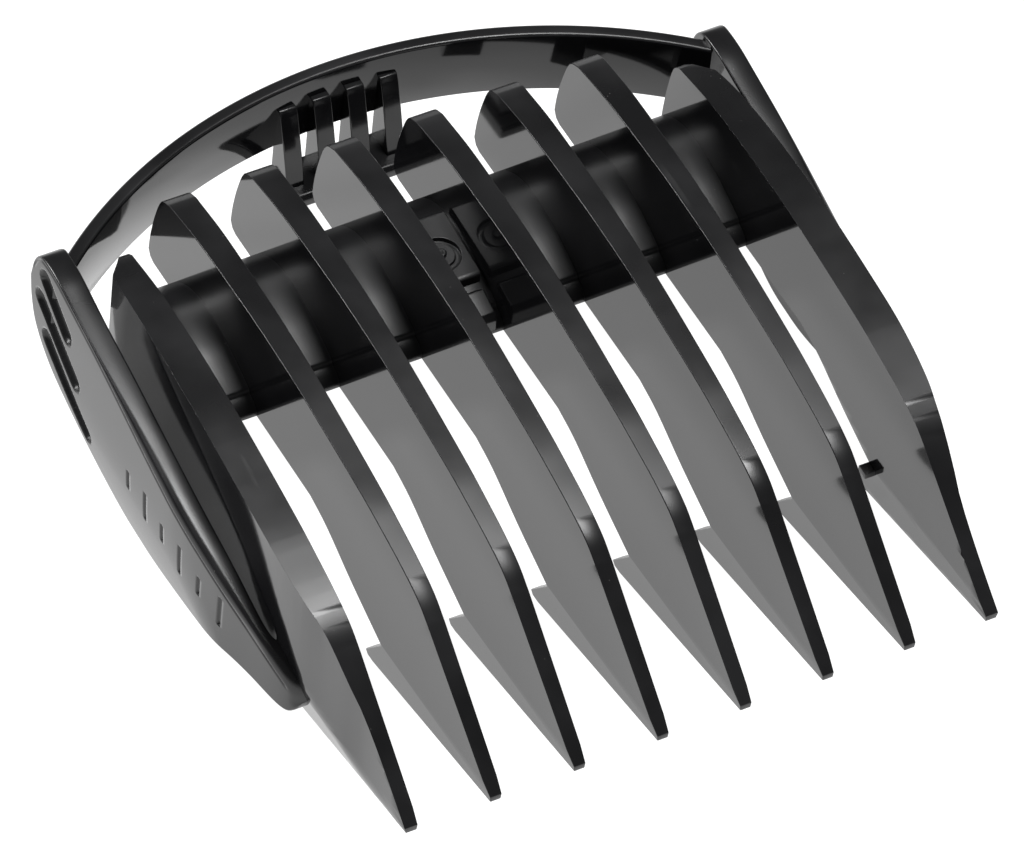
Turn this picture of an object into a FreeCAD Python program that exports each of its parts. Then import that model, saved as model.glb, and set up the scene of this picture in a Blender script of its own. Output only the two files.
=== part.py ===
import FreeCAD, Part
import math
import os

# Clip-on guide comb. Millimetres, +Z up, teeth point to -Y, bow at +Y.
# Lengths along the comb are first laid out from the tooth tips, then centred.

# ---- driving dimensions ----
COMB_LENGTH = 53.2      # tooth tips to the back of the bow
COMB_WIDTH = 50.4       # over the two side arms
COMB_HEIGHT = 14.9      # ground to the top of the tooth ridges
TOOTH_COUNT = 8
TOOTH_REAR_T = 2.0      # thickness of a tooth at its rear end
TOOTH_TIP_T = 1.0       # thickness of a tooth at its tip
OUTER_EXTRA_T = 1.12    # most that an end tooth bulges on its outer side
ARM_T = 0.95            # wall of a side arm towards its sole
BOW_T = 1.0             # wall of the rear bow
BOW_H = 5.3             # height of the rear bow
RIB_COUNT = 4           # catch ribs inside the bow
RIB_T = 1.3
RIB_PITCH = 2.48
LEDGE_W = 9.6           # catch ledge under the ribs
LEDGE_H = 1.2
SLOT_W = 1.5            # grip slots in the arms
SLOT_DEPTH = 0.5
TICK_W = 0.32           # length marks on the arms
TICK_DEPTH = 0.18
LUG_OUT = 0.7           # how far a lug stands off its tooth
RING_R = 1.35           # ring groove in the gate pad
RING_W = 0.4

# ---- fits ----
END_TOOTH_IN = 4.2      # middle of an end tooth, inside the arm's outside
PAD_GAP = 0.2           # between the gate pad and the widest part of a tooth
BLOCK_GAP = 0.4         # the same at the front block
PIVOT_GAP = 0.04        # running gap at a flex line
CLOSING_GAP = 0.12      # gap at the flex line that closes the loop
CORNER_IN = 2.93        # flex line of a bow corner, inside the arm's outside
CATCH_CLEAR = 1.41      # from the end of the ledge to the flex line beside it

# ---- derived scales ----
SY = COMB_LENGTH / 53.2
SX = COMB_WIDTH / 50.4
SZ = COMB_HEIGHT / 14.9
PITCH = 2.0 * (COMB_WIDTH / 2.0 - END_TOOTH_IN) / (TOOTH_COUNT - 1)
SEAT_Z = 7.0 * SZ       # flat underside that the clipper's blade lies against
BOW_TOP = 12.9 * SZ
BAR_FRONT = 31.95 * SY
BAR_REAR = 43.9 * SY
TOOTH_BACK = 47.3       # rear edge of an inner tooth, before scaling
END_TOOTH_BACK = 43.6   # rear edge of an end tooth, before scaling
INNER_LEAN = 2.3        # how far ahead of its rear edge an inner tooth has its apex
END_LEAN = 1.4          # the same on an end tooth
HALF_W = COMB_WIDTH / 2.0


def vec(x, y, z):
    return FreeCAD.Vector(x, y, z)


def yz(points, x0, x1):
    """Prism along X from a closed outline of (y, z) points."""
    ring = [vec(x0, y, z) for y, z in points]
    ring.append(ring[0])
    face = Part.Face(Part.makePolygon(ring))
    return face.extrude(vec(x1 - x0, 0, 0))


def xy(points, z0, z1):
    """Prism along Z from a closed outline of (x, y) points."""
    ring = [vec(x, y, z0) for x, y in points]
    ring.append(ring[0])
    face = Part.Face(Part.makePolygon(ring))
    return face.extrude(vec(0, 0, z1 - z0))


def scaled(points):
    return [(y * SY, z * SZ) for y, z in points]


def curve_through(points):
    spline = Part.BSplineCurve()
    spline.interpolate([vec(0, y, z) for y, z in points])
    return spline.toShape()


def plan_curve(points, z):
    spline = Part.BSplineCurve()
    spline.interpolate([vec(x, y, z) for x, y in points])
    return spline.toShape()


def straight(points):
    edges = []
    for a, b in zip(points[:-1], points[1:]):
        edges.append(Part.makeLine(vec(0, a[0], a[1]), vec(0, b[0], b[1])))
    return edges


def mirrored(shape):
    return shape.mirror(vec(0, 0, 0), vec(1, 0, 0))


def one(shape):
    """Drops crumbs a cut may leave and returns the main solid."""
    solids = sorted(shape.Solids, key=lambda s: s.Volume)
    return solids[-1]


# ---- teeth ----
TIP_LOW = (0.0, 3.4)
TIP_TOP = (0.0, 3.85)
RIDGE_FRONT = (9.1, 10.75)
TOE_ANGLE_DROP = (15.7, 0.0)
TOE_LAND = (16.35, 0.0)
TOE_HEEL = (16.6, 0.35)
HOOK = (14.4, 3.15)


def tooth_profile(rear, lean):
    """Side outline of a tooth from its back edge and the lean of its heel."""
    shift = rear - TOOTH_BACK
    apex = (rear - lean, 14.05)
    nose = scaled([TIP_LOW, TIP_TOP, RIDGE_FRONT])
    ridge = scaled([RIDGE_FRONT, (10.6, 11.7), (12.6, 12.4), (15.4, 13.05),
                    (19.0, 13.7), (26.7, 14.6), (32.0, 14.88), (36.0, 14.84),
                    (41.0 + shift * 0.6, 14.62), apex])
    heel = scaled([apex, (rear - 0.52 * lean, 13.35), (rear - 0.22 * lean, 11.3),
                   (rear - 0.05 * lean, 9.2), (rear, 7.7)])
    under = scaled([(rear, 7.7), (rear - 0.3, 7.2), (rear - 0.8, 7.0), (24.6, 7.0)])
    slope = scaled([(24.6, 7.0), (22.2, 6.35), (18.6, 4.75), HOOK])
    toe = scaled([HOOK, TOE_HEEL, TOE_LAND, TOE_ANGLE_DROP, TIP_LOW])
    edges = straight(nose)
    edges.append(curve_through(ridge))
    edges.append(curve_through(heel))
    edges.extend(straight(under))
    edges.append(curve_through(slope))
    edges.extend(straight(toe))
    return Part.Face(Part.Wire(edges))


def half_thickness(y):
    tip = TOOTH_TIP_T / 2.0
    rear = TOOTH_REAR_T / 2.0
    return tip + (rear - tip) * y / (TOOTH_BACK * SY)


KEEL_SLOPE = 0.096      # lean of the toe's lower faces, out of the upright
OUTER_KEEL_SLOPE = 0.3  # the same on the outer side of an end tooth


def keel(outer_slope):
    """Vee that thins the lower edge of the toe, rising towards the tip."""
    low = 0.38
    rise = (TIP_LOW[1] - TOE_LAND[1]) * SZ / (TOE_LAND[0] * SY)
    top = 40.0
    y0 = 60.0 * SY
    z0 = -rise * (y0 - TOE_LAND[0] * SY)
    ring = [(-low, z0), (low, z0), (low + outer_slope * top, z0 + top),
            (-low - KEEL_SLOPE * top, z0 + top)]
    pts = [vec(x, y0, z) for x, z in ring]
    pts.append(pts[0])
    face = Part.Face(Part.makePolygon(pts))
    run = y0 + 10.0
    return face.extrude(vec(0, -run, rise * run))


# share of the bulge on the outer side of an end tooth, along the comb
BULGE = [(5.2, 0.0), (8.0, 0.28), (11.0, 0.57), (13.5, 0.86), (17.0, 1.0), (22.0, 0.94),
         (28.0, 0.79), (33.0, 0.63), (37.0, 0.45), (40.0, 0.25), (41.0, 0.12)]


def inner_plan(rear):
    tip = half_thickness(0)
    back = half_thickness(rear)
    return xy([(-tip, 0), (tip, 0), (back, rear), (-back, rear)], -5.0, 40.0)


def end_plan(rear):
    """An end tooth from above, bulging to +X and chamfered at its outer rear corner."""
    tip = half_thickness(0)
    curve = [(half_thickness(y * SY) + OUTER_EXTRA_T * share, y * SY) for y, share in BULGE]
    edges = [plan_curve(curve, -5.0)]
    rest = [curve[-1], (-0.1 * TOOTH_REAR_T, rear - 1.1 * SY), (-0.27 * TOOTH_REAR_T, rear),
            (-half_thickness(rear), rear), (-tip, 0), (tip, 0), curve[0]]
    for a, b in zip(rest[:-1], rest[1:]):
        edges.append(Part.makeLine(vec(a[0], a[1], -5.0), vec(b[0], b[1], -5.0)))
    face = Part.Face(Part.Wire(edges))
    return face.extrude(vec(0, 0, 45.0))


def tooth(index, crossbar):
    end = index in (1, TOOTH_COUNT)
    x = (index - (TOOTH_COUNT + 1) / 2.0) * PITCH
    if end:
        profile = tooth_profile(END_TOOTH_BACK, END_LEAN)
        plan = end_plan(END_TOOTH_BACK * SY).common(keel(OUTER_KEEL_SLOPE))
    else:
        profile = tooth_profile(TOOTH_BACK, INNER_LEAN)
        plan = inner_plan(TOOTH_BACK * SY).common(keel(KEEL_SLOPE))
    if index == 1:
        plan = mirrored(plan)
    body = profile.extrude(vec(12.0, 0, 0))
    body.translate(vec(-6.0, 0, 0))
    body = body.common(plan)
    body.translate(vec(x, 0, 0))
    return one(body.cut(crossbar))


# ---- crossbar and what stands on it ----
def bar_section():
    top = scaled([(43.9, 7.7), (43.2, 8.55), (41.6, 9.6), (39.6, 10.05),
                  (36.7, 9.65), (34.6, 9.0), (33.2, 8.45)])
    front = scaled([(33.2, 8.45), (33.1, 8.15), (32.5, 7.95), (31.95, 7.4), (31.95, 7.0)])
    base = [(31.95 * SY, SEAT_Z), (BAR_REAR, SEAT_Z), (BAR_REAR, 7.7 * SZ)]
    edges = [curve_through(top)]
    edges.extend(straight(front))
    edges.extend(straight(base))
    return Part.Face(Part.Wire(edges))


END_TOOTH_X = PITCH * (TOOTH_COUNT - 1) / 2.0
GATE_Y = 37.1 * SY      # injection gate in the middle of the bar


def make_crossbar():
    bar = bar_section().extrude(vec(2 * END_TOOTH_X, 0, 0))
    bar.translate(vec(-END_TOOTH_X, 0, 0))
    return bar


def end_faces_trim(bar):
    """The bar stops on the inner faces of the two end teeth."""
    inner = half_thickness(BAR_FRONT)
    lower = half_thickness(BAR_REAR)
    a = END_TOOTH_X - inner
    b = END_TOOTH_X - lower
    y0 = BAR_FRONT
    y1 = BAR_REAR
    grow = (b - a) / (y1 - y0)
    plan = [(-a + grow * 5, y0 - 5), (a - grow * 5, y0 - 5), (b + grow * 5, y1 + 5),
            (-b - grow * 5, y1 + 5)]
    return bar.common(xy(plan, -5.0, 40.0))


def gate_pad(bar):
    half = (PITCH - TOOTH_REAR_T) / 2.0 - PAD_GAP
    outline = scaled([(34.8, 7.6), (34.8, 9.75), (35.1, 9.95), (40.0, 10.45),
                      (40.4, 10.3), (40.4, 8.0)])
    pad = yz(outline, -half, half)
    pad = pad.cut(bar)
    centre = vec(0, GATE_Y, 10.02 * SZ)
    outer = Part.makeCylinder(RING_R, 1.0, centre)
    inner = Part.makeCylinder(RING_R - RING_W, 1.0, centre)
    return one(pad.cut(outer.cut(inner)))


def gate_nub(pad):
    nub = Part.makeCylinder(0.4 * (RING_R - RING_W), 0.6, vec(0, GATE_Y, 9.85 * SZ))
    return one(nub.cut(pad))


def front_block(bar):
    half = (PITCH - TOOTH_REAR_T) / 2.0 - BLOCK_GAP
    outline = [(BAR_FRONT, SEAT_Z)]
    outline += scaled([(31.95, 8.3), (32.3, 8.75), (34.0, 9.25), (34.3, 9.0), (34.3, 7.0)])
    return one(yz(outline, -half, half).cut(bar))


def lug(side, end_tooth):
    x_face = END_TOOTH_X - half_thickness(HOOK[0] * SY)
    outline = scaled([(14.1, 2.8), (15.05, 2.8), (15.05, 3.2), (14.95, 3.3), (14.1, 3.3)])
    block = yz(outline, x_face - LUG_OUT, x_face + 0.3)
    if side < 0:
        block = mirrored(block)
    return one(block.cut(end_tooth))


# ---- side arms, drawn at +X and mirrored ----
OUT_PLAN = [(22.35, 12.0), (22.95, 12.55), (23.45, 14.0), (24.05, 17.0), (24.7, 20.6),
            (25.1, 24.6), (25.2, 29.0)]
IN_PLAN = [(21.3, 11.0), (21.45, 12.6), (21.9, 14.0), (22.55, 15.2), (23.05, 16.4),
           (23.3, 20.6), (23.45, 24.6), (23.5, 29.0), (23.5, 34.0), (23.5, 38.5),
           (23.4, 42.5), (23.3, 47.8)]
WIDER = HALF_W - 25.2   # the plan curves move out with the width
BARREL_Z = 9.5
BARREL_R = 50.0
HINGE_Y = 16.2
HINGE_R = 0.64


def arm_side_outline():
    top = scaled([(44.7, 13.3), (42.9, 13.3), (40.5, 12.85), (35.0, 11.75), (30.0, 10.6),
                  (24.4, 9.2), (20.6, 8.1), (17.2, 6.8), (14.2, 5.55), (12.9, 4.85)])
    nose = scaled([(12.9, 4.85), (12.3, 4.1), (12.15, 3.3), (12.5, 2.4), (13.4, 1.9)])
    sole = scaled([(13.4, 1.9), (16.5, 2.0), (19.5, 1.75), (24.6, 0.7), (28.5, 0.05),
                   (31.0, 0.0), (33.5, 0.25), (36.8, 1.35), (40.0, 2.8), (43.2, 4.6),
                   (45.2, 6.6)])
    rear = scaled([(45.2, 6.6), (46.0, 8.6), (46.3, 10.5), (45.95, 12.1), (45.4, 12.95),
                   (44.7, 13.3)])
    edges = [curve_through(top), curve_through(nose), curve_through(sole),
             curve_through(rear)]
    return Part.Face(Part.Wire(edges))


def grown_plan(points, tail):
    """Plan region from the mid-plane out to a curve that runs on straight."""
    curve = [(x + WIDER, y * SY) for x, y in points]
    last = curve[-1]
    first = curve[0]
    edges = [plan_curve(curve, -5.0)]
    ring = [last, (last[0], tail), (-1.0, tail), (-1.0, first[1] - 3.0),
            (first[0] - 2.5, first[1] - 3.0), first]
    for a, b in zip(ring[:-1], ring[1:]):
        edges.append(Part.makeLine(vec(a[0], a[1], -5.0), vec(b[0], b[1], -5.0)))
    face = Part.Face(Part.Wire(edges))
    return face.extrude(vec(0, 0, 40.0))


def barrel(inset):
    """Lens shape of the arm's outside, from a cylinder lying along Y."""
    radius = BARREL_R - inset
    centre_x = HALF_W + 0.1 - BARREL_R
    return Part.makeCylinder(radius, 120.0, vec(centre_x, -20.0, BARREL_Z * SZ), vec(0, 1, 0))


def slot_cutter(y_rear, z_rear, y_front, z_front):
    """Round-ended slot seen from the side, cut to an even depth."""
    dy = (y_front - y_rear) * SY
    dz = (z_front - z_rear) * SZ
    length = math.hypot(dy, dz)
    half = SLOT_W / 2.0
    a = Part.makeCylinder(half, 30.0, vec(10.0, y_rear * SY, z_rear * SZ), vec(1, 0, 0))
    b = Part.makeCylinder(half, 30.0, vec(10.0, y_front * SY, z_front * SZ), vec(1, 0, 0))
    ny = -dz / length * half
    nz = dy / length * half
    ya = y_rear * SY
    za = z_rear * SZ
    yb = ya + dy
    zb = za + dz
    ring = [(ya + ny, za + nz), (yb + ny, zb + nz), (yb - ny, zb - nz), (ya - ny, za - nz)]
    mid = yz(ring, 10.0, 40.0)
    return a.fuse([b, mid])


GRIP_SLOTS = [(44.5, 12.1, 41.0, 9.95), (45.1, 10.0, 39.6, 6.85), (44.3, 7.45, 38.0, 3.4)]
TICK_Y = [19.8, 22.2, 24.6, 27.0, 29.4, 31.8]


def arm_shell():
    """The whole side wall, nose included."""
    outside = grown_plan(OUT_PLAN, 70.0 * SY).common(barrel(0.0))
    inside = grown_plan(IN_PLAN, 75.0 * SY).common(barrel(ARM_T + 0.05))
    wall = outside.cut(inside)
    side = arm_side_outline().extrude(vec(60.0, 0, 0))
    above_ground = Part.makeBox(60.0, 90.0 * SY, 40.0, vec(0, 0, 0))
    return wall.common(side).common(above_ground)


def marks():
    """Grip slots and length ticks sunk into the outside of an arm."""
    core = grown_plan(OUT_PLAN, 90.0 * SY).common(barrel(SLOT_DEPTH))
    cutters = [slot_cutter(*row) for row in GRIP_SLOTS]
    slots = cutters[0].fuse(cutters[1:])
    slots = slots.cut(core)
    ticks = []
    for number, y in enumerate(TICK_Y):
        tall = 2.6 if number % 2 == 0 else 1.6
        z_mid = 5.0 + 0.03 * (y - 19.8)
        y0 = y * SY - TICK_W / 2
        y1 = y * SY + TICK_W / 2
        low = (z_mid - tall / 2) * SZ
        high = (z_mid + tall / 2) * SZ
        ticks.append(yz([(y0, low), (y1, low), (y1, high), (y0, high)], 20.0, 40.0))
    cut = ticks[0].fuse(ticks[1:])
    return slots.fuse(cut.cut(tick_core()))


def tick_core():
    shifted = [(x - TICK_DEPTH, y) for x, y in OUT_PLAN]
    return grown_plan(shifted, 90.0 * SY).common(barrel(TICK_DEPTH))


def hinge_point():
    return (23.47 + WIDER, HINGE_Y * SY)


def front_half(x, y, reach):
    """Block in front of a flex line at (x, y), square to the wall there."""
    tilt = math.atan2(0.72, 3.4)
    block = Part.makeBox(2 * reach, reach, 60.0, vec(-reach, -reach, -10.0))
    block.rotate(vec(0, 0, 0), vec(0, 0, 1), -math.degrees(tilt))
    block.translate(vec(x, y, 0))
    return block


def post(x, y, radius):
    return Part.makeCylinder(radius, 60.0, vec(x, y, -10.0))


# ---- bow and catch ----
# The middle of the bow's wall is an arc from corner to corner over the comb's full length.
HALF_CHORD = HALF_W - CORNER_IN
CORNER_Y = 45.12 * SY
BOW_RISE = COMB_LENGTH - BOW_T / 2.0 - CORNER_Y
MID_R = (HALF_CHORD ** 2 + BOW_RISE ** 2) / (2.0 * BOW_RISE)
BOW_CENTRE_Y = COMB_LENGTH - BOW_T / 2.0 - MID_R
CORNER_DEG = math.degrees(math.asin(HALF_CHORD / MID_R))
CATCH_DEG = math.degrees(math.asin((LEDGE_W / 2.0 + CATCH_CLEAR) / MID_R))
PIVOT_R = 0.58 * BOW_T
LEDGE_TOP = 5.4 * SZ


def bow_point(degrees):
    a = math.radians(degrees)
    return (MID_R * math.sin(a), BOW_CENTRE_Y + MID_R * math.cos(a))


def ring_part(deg0, deg1):
    """Piece of the bow between two angles measured from the rear centre."""
    z0 = BOW_TOP - BOW_H
    centre = vec(0, BOW_CENTRE_Y, z0)
    outer = Part.makeCylinder(MID_R + BOW_T / 2.0, BOW_H, centre)
    inner = Part.makeCylinder(MID_R - BOW_T / 2.0, BOW_H, centre)
    ring = outer.cut(inner)
    far = MID_R * 1.5
    pts = [(0.0, BOW_CENTRE_Y)]
    for degrees in (deg0, deg1):
        a = math.radians(degrees)
        pts.append((far * math.sin(a), BOW_CENTRE_Y + far * math.cos(a)))
    return ring.common(xy(pts, z0 - 1.0, BOW_TOP + 1.0))


def catch_rib(number, band):
    """Wedge that runs down the inside of the bow and deepens to the ledge."""
    x = (number - (RIB_COUNT + 1) / 2.0) * RIB_PITCH * SX
    face = COMB_LENGTH - BOW_T
    top = BOW_TOP - 1.8 * SZ
    foot = LEDGE_TOP
    outline = [(face + 0.6, top), (face - 0.45, top), (face - 0.75, top - 0.5 * SZ),
               (face - 1.35, 8.8 * SZ), (face - 1.9, 7.0 * SZ), (face - 2.4, foot),
               (face, foot), (face, BOW_TOP - BOW_H), (face + 0.6, BOW_TOP - BOW_H)]
    rib = yz(outline, x - RIB_T / 2.0, x + RIB_T / 2.0)
    return one(rib.cut(band))


def catch_ledge():
    face = COMB_LENGTH - BOW_T
    top = LEDGE_TOP
    low = LEDGE_TOP - LEDGE_H
    outline = [(face, top), (face - 3.1, top), (face - 3.4, top - 0.3),
               (face - 3.4, low + 0.3), (face - 3.1, low), (face, low)]
    return yz(outline, -LEDGE_W / 2.0, LEDGE_W / 2.0)


# ---- assembly ----
def build():
    nodes = {}
    bar = end_faces_trim(make_crossbar())
    nodes["crossbar"] = bar
    for index in range(1, TOOTH_COUNT + 1):
        nodes["tooth_%d" % index] = tooth(index, bar)
    pad = gate_pad(bar)
    nodes["gate_pad"] = pad
    nodes["gate_nub"] = gate_nub(pad)
    nodes["front_block"] = front_block(bar)
    nodes["lug_left"] = lug(-1, nodes["tooth_1"])
    nodes["lug_right"] = lug(1, nodes["tooth_%d" % TOOTH_COUNT])

    shell = arm_shell()
    hx, hy = hinge_point()
    ahead = front_half(hx, hy, 40.0)
    pin = post(hx, hy, HINGE_R)
    socket = post(hx, hy, HINGE_R + PIVOT_GAP)
    root = shell.common(ahead).fuse(shell.common(pin)).removeSplitter()
    arm = shell.cut(ahead).cut(socket)
    arm = one(arm.cut(marks()))
    end_tooth = nodes["tooth_%d" % TOOTH_COUNT]
    nodes["root_right"] = one(root.cut(end_tooth))
    nodes["root_left"] = mirrored(nodes["root_right"])
    nodes["arm_right"] = arm
    nodes["arm_left"] = mirrored(arm)

    # the bow is one strip with flex lines where it meets the arms and the catch
    cx, cy = bow_point(CORNER_DEG)
    kx, ky = bow_point(CATCH_DEG)
    corner_pin = post(cx, cy, PIVOT_R)
    corner_socket = post(cx, cy, PIVOT_R + PIVOT_GAP)
    loose_socket = post(cx, cy, PIVOT_R + CLOSING_GAP)
    catch_pin = post(kx, ky, PIVOT_R)
    catch_socket = post(kx, ky, PIVOT_R + PIVOT_GAP)
    strip = ring_part(CATCH_DEG, CORNER_DEG)
    ends = ring_part(CATCH_DEG - 4, CORNER_DEG + 3)
    half_bow = strip.fuse(ends.common(corner_pin)).cut(catch_socket).removeSplitter()
    stub = ring_part(CORNER_DEG, CORNER_DEG + 5.0).cut(arm)
    stub = one(stub)
    nodes["bow_right"] = one(half_bow)
    nodes["bow_left"] = mirrored(nodes["bow_right"])
    nodes["bow_root_right"] = one(stub.cut(loose_socket))
    nodes["bow_root_left"] = mirrored(one(stub.cut(corner_socket)))
    band = ring_part(-CATCH_DEG, CATCH_DEG)
    wide = ring_part(-CATCH_DEG - 4, CATCH_DEG + 4)
    knuckles = wide.common(catch_pin).fuse(wide.common(mirrored(catch_pin)))
    band = band.fuse(knuckles).removeSplitter()
    nodes["catch_band"] = one(band)
    for number in range(1, RIB_COUNT + 1):
        nodes["catch_rib_%d" % number] = catch_rib(number, band)
    nodes["catch_ledge"] = catch_ledge()
    return nodes


os.makedirs("parts", exist_ok=True)
for name, shape in build().items():
    shape.translate(vec(0, -COMB_LENGTH / 2.0, 0))
    shape.exportStep("parts/%s.step" % name)
    print(name, len(shape.Solids), round(shape.Volume, 2), shape.isValid())
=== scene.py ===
import math

import bmesh
import bpy
import numpy as np
from mathutils import Matrix, Vector


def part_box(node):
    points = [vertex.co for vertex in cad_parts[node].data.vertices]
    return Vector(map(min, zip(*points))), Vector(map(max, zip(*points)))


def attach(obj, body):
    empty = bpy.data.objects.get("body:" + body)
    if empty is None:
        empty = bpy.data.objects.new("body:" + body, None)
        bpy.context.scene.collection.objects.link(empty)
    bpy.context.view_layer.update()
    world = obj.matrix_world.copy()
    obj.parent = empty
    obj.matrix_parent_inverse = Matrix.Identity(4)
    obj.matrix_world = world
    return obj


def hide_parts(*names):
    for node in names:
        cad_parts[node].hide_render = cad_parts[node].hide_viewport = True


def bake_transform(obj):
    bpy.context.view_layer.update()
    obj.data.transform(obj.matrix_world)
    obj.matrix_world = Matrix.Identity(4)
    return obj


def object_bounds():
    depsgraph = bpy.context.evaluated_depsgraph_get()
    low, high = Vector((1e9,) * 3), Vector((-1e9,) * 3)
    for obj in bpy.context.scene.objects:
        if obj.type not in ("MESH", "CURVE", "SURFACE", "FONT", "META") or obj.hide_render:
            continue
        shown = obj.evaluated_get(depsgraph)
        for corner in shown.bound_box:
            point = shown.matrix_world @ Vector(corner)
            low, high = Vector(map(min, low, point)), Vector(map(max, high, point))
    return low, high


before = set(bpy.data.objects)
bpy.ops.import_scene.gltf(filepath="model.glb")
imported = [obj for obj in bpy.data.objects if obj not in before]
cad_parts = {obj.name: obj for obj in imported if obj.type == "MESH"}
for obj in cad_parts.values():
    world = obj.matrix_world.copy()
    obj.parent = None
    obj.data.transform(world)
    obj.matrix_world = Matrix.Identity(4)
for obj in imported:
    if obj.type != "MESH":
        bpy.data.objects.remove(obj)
cadLow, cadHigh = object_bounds()
print("frame loaded:", len(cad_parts), "nodes")

# Lengths below are in millimetres and are turned to metres when a mesh is made.
# Along the comb, y is counted from the tooth tips towards the bow.
mm = 0.001
tipY = cadLow.y / mm


def nodeBox(name):
    low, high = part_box(name)
    return [c / mm for c in low], [c / mm for c in high]


def smoothLine(points, perSpan=6):
    # Catmull-Rom curve through 2D points, ends included
    pts = [Vector(p) for p in points]
    pts = [2 * pts[0] - pts[1]] + pts + [2 * pts[-1] - pts[-2]]
    line = []
    for i in range(1, len(pts) - 2):
        a, b, c, d = pts[i - 1:i + 3]
        for k in range(perSpan):
            t = k / perSpan
            p = 0.5 * (2 * b + (c - a) * t + (2 * a - 5 * b + 4 * c - d) * t * t
                       + (3 * b - a - 3 * c + d) * t ** 3)
            line.append((p.x, p.y))
    line.append(tuple(pts[-2]))
    return line


def newObject(name, verts, faces):
    # verts come in millimetres, y counted from the tips
    mesh = bpy.data.meshes.new(name)
    placed = [(x * mm, (y + tipY) * mm, z * mm) for x, y, z in verts]
    mesh.from_pydata(placed, [], faces)
    mesh.update()
    piece = bpy.data.objects.new(name, mesh)
    bpy.context.scene.collection.objects.link(piece)
    return piece


def bakeModifiers(piece):
    # turns what the modifiers show into the piece's own mesh
    graph = bpy.context.evaluated_depsgraph_get()
    baked = bpy.data.meshes.new_from_object(piece.evaluated_get(graph), depsgraph=graph)
    piece.modifiers.clear()
    piece.data = baked


def roundEdges(piece, width, segments=3, angle=28):
    bevel = piece.modifiers.new("round edges", "BEVEL")
    bevel.width = width * mm
    bevel.segments = segments
    bevel.limit_method = "ANGLE"
    bevel.angle_limit = math.radians(angle)
    bevel.miter_outer = "MITER_ARC"
    bevel.use_clamp_overlap = True
    flat = piece.modifiers.new("flat faces stay flat", "WEIGHTED_NORMAL")
    flat.mode = "FACE_AREA"
    flat.weight = 80
    flat.keep_sharp = True
    piece.data.shade_smooth()


def outward(piece):
    mesh = bmesh.new()
    mesh.from_mesh(piece.data)
    bmesh.ops.remove_doubles(mesh, verts=mesh.verts, dist=0.002 * mm)
    bmesh.ops.recalc_face_normals(mesh, faces=mesh.faces)
    mesh.to_mesh(piece.data)
    mesh.free()


finish = {
    "black": (0.0065, 0.0065, 0.0072, 1.0),
    "polish": 0.075,
    "satin": 0.31,
    "barSatin": 0.36,
    "ripple": 0.35,
    "grain": 0.5,
    "dust": 0.3,
}
# noise scales are per metre; the shares say how much each mark adds
skinMarks = {
    "cloudScale": 120.0, "hairScale": 900.0, "hairStretch": (1.0, 0.045, 1.0),
    "hairPatchScale": 260.0, "lintScale": 2400.0, "lintPatchScale": 800.0,
    "waveScale": 210.0, "grainScale": 9000.0,
    "hairRough": 0.12, "dustRough": 0.5, "grainHeight": 0.06, "hairHeight": 0.02,
    "lintColor": (0.23, 0.22, 0.21, 1.0),
    "bumpStrength": 0.22, "bumpDepth": 0.05, "ior": 1.52,
}


def addNode(tree, kind, **settings):
    node = tree.nodes.new(kind)
    for key, value in settings.items():
        setattr(node, key, value)
    return node


def mathNode(tree, how, a, b=None, clamp=False):
    node = addNode(tree, "ShaderNodeMath", operation=how, use_clamp=clamp)
    for i, value in enumerate((a, b)):
        if value is None:
            continue
        if isinstance(value, (int, float)):
            node.inputs[i].default_value = value
        else:
            tree.links.new(value, node.inputs[i])
    return node.outputs[0]


def noiseNode(tree, coords, scale, detail=3.0, rough=0.5, stretch=None):
    if stretch is not None:
        place = addNode(tree, "ShaderNodeMapping")
        place.inputs["Scale"].default_value = stretch
        tree.links.new(coords, place.inputs["Vector"])
        coords = place.outputs["Vector"]
    node = addNode(tree, "ShaderNodeTexNoise")
    node.inputs["Scale"].default_value = scale
    node.inputs["Detail"].default_value = detail
    node.inputs["Roughness"].default_value = rough
    tree.links.new(coords, node.inputs["Vector"])
    return node.outputs["Fac"]


def rangeNode(tree, value, low, high, toLow, toHigh):
    node = addNode(tree, "ShaderNodeMapRange", clamp=True, interpolation_type="SMOOTHSTEP")
    for slotName, number in (("From Min", low), ("From Max", high)):
        node.inputs[slotName].default_value = number
    for slotName, number in (("To Min", toLow), ("To Max", toHigh)):
        if isinstance(number, (int, float)):
            node.inputs[slotName].default_value = number
        else:
            tree.links.new(number, node.inputs[slotName])
    tree.links.new(value, node.inputs["Value"])
    return node.outputs["Result"]


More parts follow.
